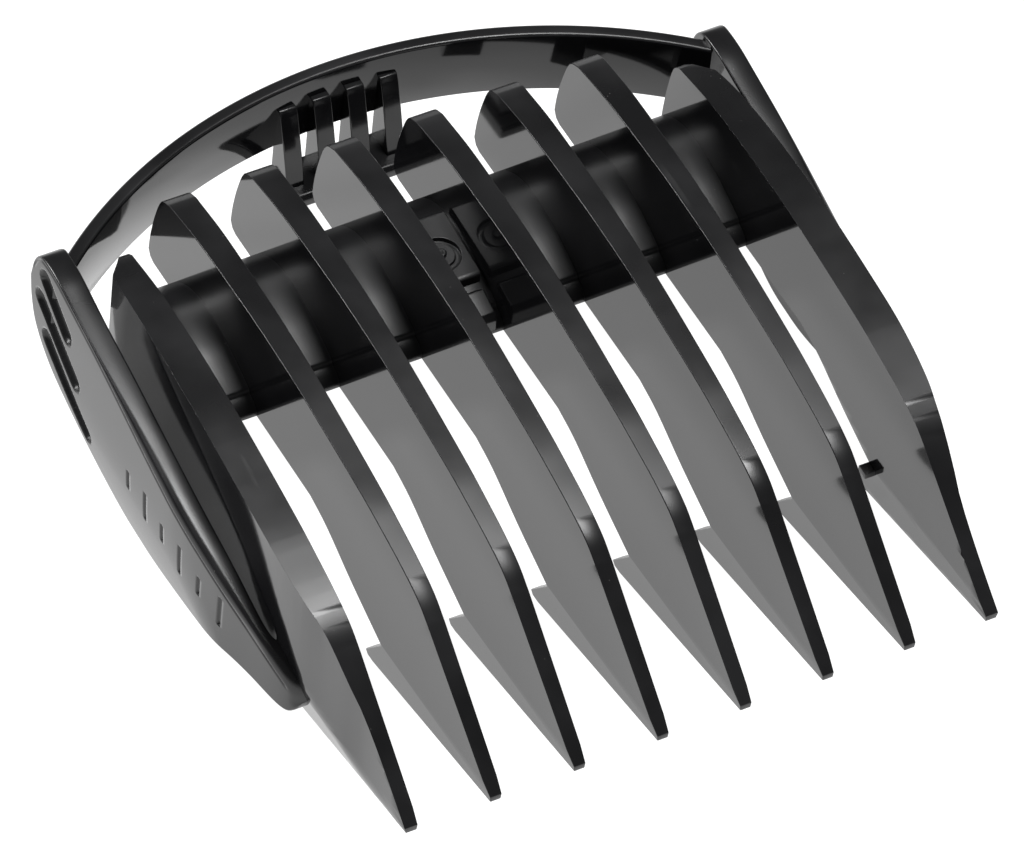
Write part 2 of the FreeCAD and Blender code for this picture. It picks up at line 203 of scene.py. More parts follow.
def buildSkinGroup():
    # what a moulded black skin shares: tone drift, polish, fine grain, hairline marks and dust
    tree = bpy.data.node_groups.new("mouldedSkin", "ShaderNodeTree")
    face = tree.interface
    sockets = (("Tone", "NodeSocketColor"), ("Polish", "NodeSocketFloat"),
               ("Satin", "NodeSocketFloat"), ("Satin Mask", "NodeSocketFloat"),
               ("Ripple", "NodeSocketFloat"), ("Grain", "NodeSocketFloat"),
               ("Dust", "NodeSocketFloat"))
    for name, kind in sockets:
        face.new_socket(name, in_out="INPUT", socket_type=kind)
    for name, kind in (("Color", "NodeSocketColor"), ("Roughness", "NodeSocketFloat"),
                       ("Height", "NodeSocketFloat")):
        face.new_socket(name, in_out="OUTPUT", socket_type=kind)
    inner = addNode(tree, "NodeGroupInput")
    out = addNode(tree, "NodeGroupOutput")
    coords = addNode(tree, "ShaderNodeTexCoord").outputs["Object"]
    normal = addNode(tree, "ShaderNodeNewGeometry").outputs["Normal"]
    upward = addNode(tree, "ShaderNodeSeparateXYZ")
    tree.links.new(normal, upward.inputs[0])

    # broad tone drift of the resin, and a faint cloud in the polish
    cloud = noiseNode(tree, coords, skinMarks["cloudScale"], 3.0)
    drift = rangeNode(tree, cloud, 0.3, 0.7, 0.75, 1.3)
    hairs = noiseNode(tree, coords, skinMarks["hairScale"], 2.0, 0.6, skinMarks["hairStretch"])
    hairMask = rangeNode(tree, hairs, 0.66, 0.74, 0.0, 1.0)
    hairPatch = noiseNode(tree, coords, skinMarks["hairPatchScale"], 2.0)
    hairMask = mathNode(tree, "MULTIPLY", hairMask,
                        rangeNode(tree, hairPatch, 0.5, 0.7, 0.0, 1.0))

    # specks of lint, mostly on faces that look up
    specks = addNode(tree, "ShaderNodeTexVoronoi", feature="F1")
    specks.inputs["Scale"].default_value = skinMarks["lintScale"]
    specks.inputs["Randomness"].default_value = 1.0
    tree.links.new(coords, specks.inputs["Vector"])
    dot = rangeNode(tree, specks.outputs["Distance"], 0.06, 0.11, 1.0, 0.0)
    lintPatch = noiseNode(tree, coords, skinMarks["lintPatchScale"], 1.0)
    rare = rangeNode(tree, lintPatch, 0.64, 0.68, 0.0, 1.0)
    lying = rangeNode(tree, upward.outputs["Z"], 0.2, 0.8, 0.15, 1.0)
    dust = mathNode(tree, "MULTIPLY", mathNode(tree, "MULTIPLY", dot, rare), lying)
    dust = mathNode(tree, "MULTIPLY", dust, inner.outputs["Dust"])

    tinted = addNode(tree, "ShaderNodeMix", data_type="RGBA", blend_type="MULTIPLY")
    tinted.inputs["Factor"].default_value = 1.0
    tree.links.new(inner.outputs["Tone"], tinted.inputs[6])
    tree.links.new(drift, tinted.inputs[7])
    powder = addNode(tree, "ShaderNodeMix", data_type="RGBA")
    tree.links.new(dust, powder.inputs["Factor"])
    tree.links.new(tinted.outputs[2], powder.inputs[6])
    powder.inputs[7].default_value = skinMarks["lintColor"]
    tree.links.new(powder.outputs[2], out.inputs["Color"])

    # roughness: polished or satin by the mask, with cloud, hairlines and dust on top
    rough = addNode(tree, "ShaderNodeMix", data_type="FLOAT")
    tree.links.new(inner.outputs["Satin Mask"], rough.inputs["Factor"])
    tree.links.new(inner.outputs["Polish"], rough.inputs[2])
    tree.links.new(inner.outputs["Satin"], rough.inputs[3])
    swing = rangeNode(tree, cloud, 0.25, 0.75, 0.8, 1.25)
    total = mathNode(tree, "MULTIPLY", rough.outputs[0], swing)
    scuffed = mathNode(tree, "MULTIPLY", hairMask, skinMarks["hairRough"])
    total = mathNode(tree, "ADD", total, scuffed)
    dusty = mathNode(tree, "MULTIPLY", dust, skinMarks["dustRough"])
    total = mathNode(tree, "ADD", total, dusty, clamp=True)
    tree.links.new(total, out.inputs["Roughness"])

    # height: slow ripple from the mould, fine grain where it is satin, hairlines cut in
    wave = mathNode(tree, "MULTIPLY", noiseNode(tree, coords, skinMarks["waveScale"], 1.0),
                    inner.outputs["Ripple"])
    grain = noiseNode(tree, coords, skinMarks["grainScale"], 2.0, 0.65)
    grain = mathNode(tree, "MULTIPLY", grain, inner.outputs["Grain"])
    grain = mathNode(tree, "MULTIPLY", grain, inner.outputs["Satin Mask"])
    grain = mathNode(tree, "MULTIPLY", grain, skinMarks["grainHeight"])
    height = mathNode(tree, "ADD", wave, grain)
    scored = mathNode(tree, "MULTIPLY", hairMask, skinMarks["hairHeight"])
    height = mathNode(tree, "SUBTRACT", height, scored)
    tree.links.new(height, out.inputs["Height"])
    return tree


skinGroup = buildSkinGroup()


def blackPlastic(name, polish, satin, maskBy, ripple=1.0, dust=1.0):
    # maskBy: "side" keeps faces that look along X polished, "upward" makes only the top satin,
    # or a number sets the whole mask
    material = bpy.data.materials.new(name)
    material.use_nodes = True
    tree = material.node_tree
    shader = tree.nodes["Principled BSDF"]
    skin = addNode(tree, "ShaderNodeGroup", node_tree=skinGroup)
    skin.inputs["Tone"].default_value = finish["black"]
    skin.inputs["Polish"].default_value = polish
    skin.inputs["Satin"].default_value = satin
    skin.inputs["Ripple"].default_value = ripple * finish["ripple"]
    skin.inputs["Grain"].default_value = finish["grain"]
    skin.inputs["Dust"].default_value = dust * finish["dust"]
    if maskBy in ("side", "upward"):
        geometry = addNode(tree, "ShaderNodeNewGeometry")
        parts = addNode(tree, "ShaderNodeSeparateXYZ")
        tree.links.new(geometry.outputs["Normal"], parts.inputs[0])
        if maskBy == "side":
            across = mathNode(tree, "ABSOLUTE", parts.outputs["X"])
            mask = rangeNode(tree, across, 0.55, 0.9, 1.0, 0.0)
        else:
            mask = rangeNode(tree, parts.outputs["Z"], 0.35, 0.8, 0.0, 1.0)
        tree.links.new(mask, skin.inputs["Satin Mask"])
    else:
        skin.inputs["Satin Mask"].default_value = maskBy
    bump = addNode(tree, "ShaderNodeBump")
    bump.inputs["Strength"].default_value = skinMarks["bumpStrength"]
    bump.inputs["Distance"].default_value = skinMarks["bumpDepth"] * mm
    tree.links.new(skin.outputs["Height"], bump.inputs["Height"])
    tree.links.new(skin.outputs["Color"], shader.inputs["Base Color"])
    tree.links.new(skin.outputs["Roughness"], shader.inputs["Roughness"])
    tree.links.new(bump.outputs["Normal"], shader.inputs["Normal"])
    shader.inputs["IOR"].default_value = skinMarks["ior"]
    return material


toothBlack = blackPlastic("toothBlack", finish["polish"], finish["satin"], "side")
barBlack = blackPlastic("barBlack", finish["polish"], finish["barSatin"], 1.0)
armBlack = blackPlastic("armBlack", finish["polish"], finish["satin"], "side", ripple=1.4)
bowBlack = blackPlastic("bowBlack", 0.09, finish["satin"], "upward", ripple=1.6, dust=0.6)
ribBlack = blackPlastic("ribBlack", 0.12, finish["satin"], "upward", ripple=1.2, dust=0.6)
print("finishes ready")


def treeFor(name, inputs):
    # a node tree with a geometry going in and out, and named inputs in between
    tree = bpy.data.node_groups.new(name, "GeometryNodeTree")
    tree.interface.new_socket("Geometry", in_out="INPUT", socket_type="NodeSocketGeometry")
    for label, kind in inputs:
        tree.interface.new_socket(label, in_out="INPUT", socket_type="NodeSocket" + kind)
    tree.interface.new_socket("Geometry", in_out="OUTPUT", socket_type="NodeSocketGeometry")
    start = addNode(tree, "NodeGroupInput")
    end = addNode(tree, "NodeGroupOutput")
    return tree, start, end


def endTree(tree, start, end, geometry):
    # instances made real, then the finish named in the inputs
    real = addNode(tree, "GeometryNodeRealizeInstances")
    paint = addNode(tree, "GeometryNodeSetMaterial")
    tree.links.new(geometry, real.inputs["Geometry"])
    tree.links.new(real.outputs["Geometry"], paint.inputs["Geometry"])
    tree.links.new(start.outputs["Material"], paint.inputs["Material"])
    tree.links.new(paint.outputs["Geometry"], end.inputs["Geometry"])


def useTree(piece, tree, values):
    modifier = piece.modifiers.new(tree.name, "NODES")
    modifier.node_group = tree
    sockets = {s.name: s.identifier for s in tree.interface.items_tree if s.in_out == "INPUT"}
    for label, value in values.items():
        modifier[sockets[label]] = value


def vectorFrom(tree, x=None, y=None, z=None):
    node = addNode(tree, "ShaderNodeCombineXYZ")
    for i, value in enumerate((x, y, z)):
        if isinstance(value, (int, float)):
            node.inputs[i].default_value = value
        elif value is not None:
            tree.links.new(value, node.inputs[i])
    return node.outputs[0]


tooth = {
    "tip": (0.0, 3.4), "tipTop": 3.85, "ridgeFront": (9.1, 10.75),
    "ridge": [(10.6, 11.7), (12.6, 12.4), (15.4, 13.05), (19.0, 13.7), (26.7, 14.6),
              (32.0, 14.88), (36.0, 14.84)],
    "apex": 14.05, "heel": [(0.52, 13.35), (0.22, 11.3), (0.05, 9.2), (0.0, 7.7)],
    "slope": [(24.6, 7.0), (22.2, 6.35), (18.6, 4.75), (14.4, 3.15)],
    "toe": [(16.6, 0.35), (16.35, 0.0), (15.7, 0.0)],
    "back": 47.3, "endBack": 43.6, "lean": 2.3, "endLean": 1.4,
    "tipThickness": 1.0, "rearThickness": 2.0,
    "keelEdge": 0.38, "keelSlope": 0.096, "outerKeelSlope": 0.3, "edge": 0.13,
    "swellLow": -1.0, "swellHigh": 2.0, "straightPast": 40.5,
    "crown": (41.0, 14.62), "crownShift": 0.6, "backFoot": [(0.3, 7.2), (0.8, 7.0)],
    "cutFrom": 2.0, "cutTo": 40.5, "cutStep": 1.1, "cutNudge": 0.01, "lastCuts": [41.0, 42.5],
    "creaseReach": 14.0, "toeCuts": (0.7, 6.4, 0.5), "weld": 0.0005,
}
# how far an end tooth's outer side stands from its middle, along the comb
swell = [(0.0, 0.5), (5.2, 0.555), (8.0, 0.9), (11.0, 1.254), (13.5, 1.606), (17.0, 1.8),
         (22.0, 1.785), (28.0, 1.68), (33.0, 1.555), (37.0, 1.395), (40.0, 1.2),
         (41.0, 1.07), (42.5, -0.2), (43.6, -0.55)]


def keelLine(y):
    # lower edge of the toe, from the land up to the tip
    land = tooth["toe"][1][0]
    return tooth["tip"][1] * (land - y) / land


def toothOutline(back, lean):
    shift = back - tooth["back"]
    ridge = [tooth["ridgeFront"]] + tooth["ridge"]
    apex = (back - lean, tooth["apex"])
    crownY, crownZ = tooth["crown"]
    ridge += [(crownY + shift * tooth["crownShift"], crownZ), apex]
    heel = [apex] + [(back - share * lean, z) for share, z in tooth["heel"]]
    line = [tooth["tip"], (0.0, tooth["tipTop"])]
    line += smoothLine(ridge, 5)[:-1] + smoothLine(heel, 4)
    line += [(back - inside, z) for inside, z in tooth["backFoot"]]
    line += smoothLine(tooth["slope"], 4) + tooth["toe"]
    return line


def toothBlank(name, back, lean, cuts):
    # flat side view of a tooth, laid down as x = along the comb, y = up, and sliced where it bends
    outline = toothOutline(back, lean)
    mesh = bmesh.new()
    mesh.faces.new([mesh.verts.new((y, z, 0.0)) for y, z in outline])
    half = tooth["tipThickness"] / 2
    grow = (tooth["rearThickness"] - tooth["tipThickness"]) / 2 / tooth["back"]
    creaseAt = [(y, keelLine(y) + (half + grow * y - tooth["keelEdge"]) / tooth["keelSlope"])
                for y in (0.0, tooth["creaseReach"])]
    along = Vector((creaseAt[1][0] - creaseAt[0][0], creaseAt[1][1] - creaseAt[0][1], 0))
    planes = [(Vector((creaseAt[0][0], creaseAt[0][1], 0)), Vector((-along.y, along.x, 0)))]
    planes += [(Vector((y, 0, 0)), Vector((1, 0, 0))) for y in cuts]
    if cuts:
        planes += [(Vector((0, z, 0)), Vector((0, 1, 0))) for z in np.arange(*tooth["toeCuts"])]
    for point, normal in planes:
        bmesh.ops.bisect_plane(mesh, geom=mesh.verts[:] + mesh.edges[:] + mesh.faces[:],
                               dist=1e-5, plane_co=point, plane_no=normal)
    mesh.normal_update()
    if mesh.faces[:][0].normal.z < 0:
        bmesh.ops.reverse_faces(mesh, faces=mesh.faces)
    flat = bpy.data.meshes.new(name)
    mesh.to_mesh(flat)
    mesh.free()
    piece = bpy.data.objects.new(name, flat)
    bpy.context.scene.collection.objects.link(piece)
    return piece


def buildToothTree():
    inputs = [("Tip Half", "Float"), ("Growth", "Float"), ("Keel Edge", "Float"),
              ("Keel Slope", "Float"), ("Outer Keel Slope", "Float"), ("Keel Land", "Float"),
              ("Keel Rise", "Float"),
              ("Swell", "Float"), ("Swell Low", "Float"), ("Swell Range", "Float"),
              ("Outer Side", "Float"),
              ("First", "Float"), ("Pitch", "Float"), ("Count", "Int"), ("Tip Y", "Float"),
              ("Material", "Material")]
    tree, start, end = treeFor("toothTree", inputs)

    def calc(how, a, b=None):
        return mathNode(tree, how, a, b)

    # give the flat blank a unit thickness, closed on both faces
    up = addNode(tree, "GeometryNodeExtrudeMesh", mode="FACES")
    up.inputs["Individual"].default_value = False
    tree.links.new(vectorFrom(tree, 0.0, 0.0, 1.0), up.inputs["Offset"])
    tree.links.new(start.outputs["Geometry"], up.inputs["Mesh"])
    flip = addNode(tree, "GeometryNodeFlipFaces")
    tree.links.new(start.outputs["Geometry"], flip.inputs["Mesh"])
    join = addNode(tree, "GeometryNodeJoinGeometry")
    tree.links.new(up.outputs["Mesh"], join.inputs[0])
    tree.links.new(flip.outputs["Mesh"], join.inputs[0])
    weld = addNode(tree, "GeometryNodeMergeByDistance")
    weld.inputs["Distance"].default_value = tooth["weld"]
    tree.links.new(join.outputs[0], weld.inputs["Geometry"])

    # half thickness at each point: taper, thinned by the keel, or swollen on an end tooth
    place = addNode(tree, "GeometryNodeInputPosition")
    parts = addNode(tree, "ShaderNodeSeparateXYZ")
    tree.links.new(place.outputs[0], parts.inputs[0])
    y, z, side = parts.outputs
    taper = calc("ADD", calc("MULTIPLY", y, start.outputs["Growth"]), start.outputs["Tip Half"])
    curve = addNode(tree, "ShaderNodeFloatCurve")
    marks = curve.mapping.curves[0]
    span = tooth["back"]
    for _ in swell[2:]:
        marks.points.new(0.5, 0.5)
    low = tooth["swellLow"]
    reach = tooth["swellHigh"] - low
    for point, (at, stand) in zip(marks.points, swell):
        point.location = (at / span, (stand - low) / reach)
        point.handle_type = "VECTOR" if at > tooth["straightPast"] else "AUTO"
    curve.mapping.update()
    tree.links.new(calc("DIVIDE", y, span), curve.inputs["Value"])
    fat = calc("ADD", calc("MULTIPLY", curve.outputs["Value"], start.outputs["Swell Range"]),
               start.outputs["Swell Low"])
    outer = addNode(tree, "ShaderNodeMix", data_type="FLOAT")
    isOuter = calc("MULTIPLY", start.outputs["Outer Side"],
                   calc("SUBTRACT", calc("MULTIPLY", side, 2.0), 1.0))
    onSwell = calc("MULTIPLY", start.outputs["Swell"], calc("GREATER_THAN", isOuter, 0.0))
    tree.links.new(onSwell, outer.inputs["Factor"])
    tree.links.new(taper, outer.inputs[2])
    tree.links.new(fat, outer.inputs[3])
    above = calc("SUBTRACT", z, calc("MULTIPLY", start.outputs["Keel Rise"],
                                     calc("SUBTRACT", start.outputs["Keel Land"], y)))
    lean = addNode(tree, "ShaderNodeMix", data_type="FLOAT")
    tree.links.new(onSwell, lean.inputs["Factor"])
    tree.links.new(start.outputs["Keel Slope"], lean.inputs[2])
    tree.links.new(start.outputs["Outer Keel Slope"], lean.inputs[3])
    keel = calc("ADD", calc("MULTIPLY", above, lean.outputs[0]), start.outputs["Keel Edge"])
    half = calc("MINIMUM", outer.outputs[0], keel)
    x = calc("MULTIPLY", half, calc("SUBTRACT", calc("MULTIPLY", side, 2.0), 1.0))

    # stand it up in the comb's frame, in metres
    stand = addNode(tree, "GeometryNodeSetPosition")
    tree.links.new(weld.outputs["Geometry"], stand.inputs["Geometry"])
    upright = vectorFrom(tree, calc("MULTIPLY", x, mm),
                         calc("MULTIPLY", calc("ADD", y, start.outputs["Tip Y"]), mm),
                         calc("MULTIPLY", z, mm))
    tree.links.new(upright, stand.inputs["Position"])

    # repeat along X
    line = addNode(tree, "GeometryNodeMeshLine", mode="OFFSET")
    tree.links.new(start.outputs["Count"], line.inputs["Count"])
    tree.links.new(vectorFrom(tree, calc("MULTIPLY", start.outputs["First"], mm), 0.0, 0.0),
                   line.inputs["Start Location"])
    tree.links.new(vectorFrom(tree, calc("MULTIPLY", start.outputs["Pitch"], mm), 0.0, 0.0),
                   line.inputs["Offset"])
    copies = addNode(tree, "GeometryNodeInstanceOnPoints")
    tree.links.new(line.outputs[0], copies.inputs["Points"])
    tree.links.new(stand.outputs["Geometry"], copies.inputs["Instance"])
    endTree(tree, start, end, copies.outputs["Instances"])
    return tree


def makeTeeth():
    tree = buildToothTree()
    count = sum(1 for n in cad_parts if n.startswith("tooth_"))
    low, high = nodeBox("tooth_2")
    second = (low[0] + high[0]) / 2
    low, high = nodeBox("tooth_%d" % (count - 1))
    pitch = ((low[0] + high[0]) / 2 - second) / (count - 3)
    shared = {
        "Tip Half": tooth["tipThickness"] / 2,
        "Growth": (tooth["rearThickness"] - tooth["tipThickness"]) / 2 / tooth["back"],
        "Keel Edge": tooth["keelEdge"], "Keel Slope": tooth["keelSlope"],
        "Outer Keel Slope": tooth["outerKeelSlope"],
        "Keel Land": tooth["toe"][1][0],
        "Keel Rise": tooth["tip"][1] / tooth["toe"][1][0],
        "Swell Low": tooth["swellLow"], "Swell Range": tooth["swellHigh"] - tooth["swellLow"],
        "Pitch": pitch, "Count": 1, "Tip Y": tipY,
        "Material": toothBlack,
    }
    even = np.arange(tooth["cutFrom"], tooth["cutTo"], tooth["cutStep"])
    endCuts = [y + tooth["cutNudge"] for y in even] + tooth["lastCuts"]
    teeth = []
    for number in range(1, count + 1):
        isEnd = number in (1, count)
        back = tooth["endBack"] if isEnd else tooth["back"]
        lean = tooth["endLean"] if isEnd else tooth["lean"]
        piece = toothBlank("toothSkin_%d" % number, back, lean, endCuts if isEnd else [])
        values = dict(shared)
        values["First"] = second + (number - 2) * pitch
        values["Swell"] = 1.0 if isEnd else 0.0
        values["Outer Side"] = -1.0 if number == 1 else 1.0
        useTree(piece, tree, values)
        roundEdges(piece, tooth["edge"], 3, 24)
        bakeModifiers(piece)
        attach(piece, "comb")
        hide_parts("tooth_%d" % number)
        teeth.append(piece)
    print("teeth made:", len(teeth))


makeTeeth()


bar = {
    "top": [(43.9, 7.7), (43.2, 8.55), (41.6, 9.6), (39.6, 10.05), (36.7, 9.65), (34.6, 9.0),
            (33.2, 8.45)],
    "front": [(33.1, 8.15), (32.5, 7.95), (31.95, 7.4), (31.95, 7.0)],
    "rear": [(43.9, 7.0)],
    "edge": 0.12, "intoTooth": 0.1,
}
gate = {
    "half": 1.8, "outline": [(34.8, 7.8), (34.8, 9.75), (35.1, 9.95), (40.0, 10.45),
                             (40.4, 10.3), (40.4, 8.2)],
    "centreY": 37.1, "ringOuter": 1.35, "ringInner": 0.95, "ringDepth": 0.3,
    "nub": 0.38, "edge": 0.07, "topZ": 10.2,
    "nubRise": [(0.0, -0.3), (1.0, -0.3), (1.0, 0.12), (0.8, 0.2), (0.4, 0.17), (0.0, 0.15)],
}
block = {
    "half": 1.6, "outline": [(31.97, 7.0), (31.97, 8.3), (32.3, 8.75), (34.0, 9.25),
                             (34.3, 9.0), (34.3, 7.1)],
    "edge": 0.1,
}
lugShape = {
    "outline": [(14.1, 2.8), (15.05, 2.8), (15.05, 3.2), (14.95, 3.3), (14.1, 3.3)],
    "edge": 0.05, "intoTooth": 0.2,
}


def prism(name, outline, x0, x1, edge, material):
    # closed slab along X from a (y, z) outline
    count = len(outline)
    verts = [(x, y, z) for x in (x0, x1) for y, z in outline]
    faces = [list(range(count)), [count + i for i in reversed(range(count))]]
    for i in range(count):
        j = (i + 1) % count
        faces.append([i, count + i, count + j, j])
    piece = newObject(name, verts, faces)
    outward(piece)
    piece.data.materials.append(material)
    roundEdges(piece, edge)
    return piece


def makeCrossbar():
    low, high = nodeBox("crossbar")
    reach = bar["intoTooth"]
    outline = smoothLine(bar["top"], 5) + bar["front"] + bar["rear"]
    piece = prism("crossbarSkin", outline, low[0] - reach, high[0] + reach, bar["edge"], barBlack)
    bakeModifiers(piece)
    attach(piece, "comb")
    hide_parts("crossbar")


def latheAboutZ(name, profile, centre, steps=48):
    # closed ring or dome from (radius, z) points turned about an upright axis
    verts = []
    for k in range(steps):
        a = 2 * math.pi * k / steps
        verts += [(centre[0] + r * math.cos(a), centre[1] + r * math.sin(a), z)
                  for r, z in profile]
    count = len(profile)
    faces = []
    for k in range(steps):
        n = (k + 1) % steps
        for i in range(count):
            j = (i + 1) % count
            faces.append([k * count + i, n * count + i, n * count + j, k * count + j])
    piece = newObject(name, verts, faces)
    outward(piece)
    return piece


def makeGate():
    pad = prism("gatePadSkin", gate["outline"], -gate["half"], gate["half"], gate["edge"],
                barBlack)
    pad.modifiers.clear()
    top = gate["topZ"]
    deep = top - gate["ringDepth"]
    centre = (0, gate["centreY"])
    ring = [(gate["ringInner"], deep), (gate["ringOuter"], deep),
            (gate["ringOuter"], top + 1), (gate["ringInner"], top + 1)]
    groove = latheAboutZ("ringGroove", ring, centre)
    cut = pad.modifiers.new("ring", "BOOLEAN")
    cut.operation = "DIFFERENCE"
    cut.object = groove
    bakeModifiers(pad)
    roundEdges(pad, gate["edge"], 2, 35)
    bakeModifiers(pad)
    bpy.data.objects.remove(groove)
    dome = [(gate["nub"] * share, top + rise) for share, rise in gate["nubRise"]]
    nub = latheAboutZ("gateNubSkin", dome, centre)
    nub.data.shade_smooth()
    nub.data.materials.append(barBlack)
    for piece, node in ((pad, "gate_pad"), (nub, "gate_nub")):
        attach(piece, "comb")
        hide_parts(node)


def makeBlocks():
    piece = prism("frontBlockSkin", block["outline"], -block["half"], block["half"],
                  block["edge"], barBlack)
    bakeModifiers(piece)
    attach(piece, "comb")
    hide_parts("front_block")
    for side in ("left", "right"):
        low, high = nodeBox("lug_" + side)
        grow = lugShape["intoTooth"]
        x0 = low[0] - (grow if side == "left" else 0)
        x1 = high[0] + (grow if side == "right" else 0)
        lug = prism("lugSkin_" + side, lugShape["outline"], x0, x1, lugShape["edge"], barBlack)
        bakeModifiers(lug)
        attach(lug, "comb")
        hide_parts("lug_" + side)


makeCrossbar()
makeGate()
makeBlocks()
print("crossbar made")


arm = {
    "planOut": [(12.0, 22.35), (12.55, 22.95), (14.0, 23.45), (17.0, 24.05), (20.6, 24.7),
                (24.6, 25.1), (29.0, 25.2), (48.0, 25.2)],
    "planIn": [(11.0, 21.3), (12.6, 21.45), (14.0, 21.9), (15.2, 22.55), (16.4, 23.05),
               (20.6, 23.3), (24.6, 23.45), (29.0, 23.5), (34.0, 23.5), (38.5, 23.5),
               (42.5, 23.4), (47.8, 23.3)],
    "top": [(12.15, 3.3), (12.3, 4.1), (12.9, 4.85), (14.2, 5.55), (17.2, 6.8), (20.6, 8.1),
            (24.4, 9.2), (30.0, 10.6), (35.0, 11.75), (40.5, 12.85), (42.9, 13.3),
            (44.7, 13.3), (45.4, 12.95), (45.95, 12.1), (46.3, 10.5)],
    "bottom": [(12.15, 3.3), (12.5, 2.4), (13.4, 1.9), (16.5, 2.0), (19.5, 1.75), (24.6, 0.7),
               (28.5, 0.05), (31.0, 0.0), (33.5, 0.25), (36.8, 1.35), (40.0, 2.8),
               (43.2, 4.6), (45.2, 6.6), (46.0, 8.6), (46.3, 10.5)],
    "barrelR": 50.0, "barrelZ": 9.5, "barrelX": -24.7, "wall": 1.0, "soften": 0.25,
    "roundRear": 0.16, "roundFront": 0.62, "roundSole": 0.14,
    "groovePast": 0.1, "grooveHalf": 0.07, "grooveDepth": 0.08,
    "slots": [(44.1, 11.85, 41.0, 9.95), (44.5, 9.65, 39.6, 6.85), (43.4, 6.9, 38.0, 3.4)],
    "slotHalf": 0.8, "slotDepth": 0.6, "slotRound": 0.5,
    "ticks": [19.8, 22.2, 24.6, 27.0, 29.4, 31.8],
    "tickHalf": 0.16, "tickDepth": 0.18, "tickLong": 2.6, "tickShort": 1.6,
    "tickZ": 5.0, "tickClimb": 0.03, "tickSideSoft": 0.08, "tickEndSoft": 0.12,
    "hinge": (23.47, 16.2, 4.0), "hingeReach": 1.6,
    "endZone": 1.6, "fineFrom": 36.6, "coarseStep": 0.4, "fineStep": 0.075, "tooClose": 0.004,
    "mostRound": 0.42, "beadFrom": 27.0, "beadOver": 12.0,
    "grooveFull": (0.7, 0.3), "grooveLift": (1.0, 0.6),
}


def table(points):
    # (y, value) control points to dense arrays for np.interp
    line = smoothLine(points, 8)
    ys = np.maximum.accumulate(np.array([p[0] for p in line]))
    return ys, np.array([p[1] for p in line])


def segmentDistance(y, z, a, b):
    ab = np.array(b) - np.array(a)
    t = ((y - a[0]) * ab[0] + (z - a[1]) * ab[1]) / max(ab @ ab, 1e-12)
    t = np.clip(t, 0, 1)
    return np.hypot(y - a[0] - t * ab[0], z - a[1] - t * ab[1])


def smoothStep(t):
    t = np.clip(t, 0, 1)
    return t * t * (3 - 2 * t)


def armStations():
    # close together at both ends, at the slots and at the tick edges
    start = arm["top"][0][0]
    stop = arm["top"][-1][0]
    ys = [start, stop]
    zone = arm["endZone"]
    ys += list(start + (1 - np.cos(np.linspace(0, math.pi / 2, 14))) * zone)
    ys += list(stop - (1 - np.cos(np.linspace(0, math.pi / 2, 20))) * zone)
    ys += list(np.arange(start + zone, arm["fineFrom"], arm["coarseStep"]))
    ys += list(np.arange(arm["fineFrom"], stop - zone, arm["fineStep"]))
    for y in arm["ticks"]:
        for gap in (-0.06, -0.02, 0.02, 0.06):
            ys += [y - arm["tickHalf"] + gap, y + arm["tickHalf"] + gap]
    ys = sorted(ys)
    return np.array([y for i, y in enumerate(ys) if i == 0 or y - ys[i - 1] > arm["tooClose"]])


def armRows(fine):
    # shares of the height from sole to rim, close together at both edges
    sole = np.array([0, 0.003, 0.007, 0.012, 0.018, 0.026])
    rim = 1 - np.concatenate([[0, 0.002, 0.005, 0.009, 0.014], np.arange(0.02, 0.1, 0.0065)])
    middle = np.linspace(0.036, 0.895, 124 if fine else 14)
    return np.concatenate([sole, middle, rim[::-1]])


def ringDistance(yy, zz, ring):
    away = np.full(yy.shape, 1e9)
    for a, b in zip(ring[:-1], ring[1:]):
        away = np.minimum(away, segmentDistance(yy, zz, a, b))
    return away


def quarterRound(away, radius):
    # how far a surface falls away near an edge that is rounded to the radius
    inside = np.clip(radius - away, 0, radius)
    return radius - np.sqrt(np.maximum(radius ** 2 - inside ** 2, 0))


def armGrid(ys, rows):
    topY, topZ = table(arm["top"])
    lowY, lowZ = table(arm["bottom"])
    high = np.interp(ys, topY, topZ)
    low = np.maximum(np.interp(ys, lowY, lowZ), 0.0)
    yy = np.repeat(ys[:, None], len(rows), 1)
    zz = low[:, None] + (high - low)[:, None] * rows[None, :]
    rim = ringDistance(yy, zz, list(zip(topY, topZ)))
    sole = ringDistance(yy, zz, list(zip(lowY, lowZ)))
    return yy, zz, rim, sole


def armFace(yy, zz, plan, radius, soften):
    # the plan curve and the barrel, joined without an edge
    planY, planX = table(plan)
    flat = np.interp(yy, planY, planX)
    barrel = arm["barrelX"] + np.sqrt(radius ** 2 - (zz - arm["barrelZ"]) ** 2)
    gap = np.clip((soften - np.abs(flat - barrel)) / soften, 0, 1)
    return np.minimum(flat, barrel) - gap * gap * soften / 4


def armMarks(yy, zz):
    cut = np.zeros(yy.shape)
    for slot in arm["slots"]:
        share = segmentDistance(yy, zz, slot[:2], slot[2:]) / arm["slotHalf"]
        deep = np.clip(1 - share ** 2, 0, 1) ** arm["slotRound"]
        cut = np.maximum(cut, arm["slotDepth"] * deep)
    for number, y in enumerate(arm["ticks"]):
        tall = arm["tickLong"] if number % 2 == 0 else arm["tickShort"]
        middle = arm["tickZ"] + arm["tickClimb"] * (y - arm["ticks"][0])
        reachY = smoothStep((arm["tickHalf"] - np.abs(yy - y)) / arm["tickSideSoft"] + 0.5)
        reachZ = smoothStep((tall / 2 - np.abs(zz - middle)) / arm["tickEndSoft"] + 0.5)
        cut = np.maximum(cut, arm["tickDepth"] * reachY * reachZ)
    return cut


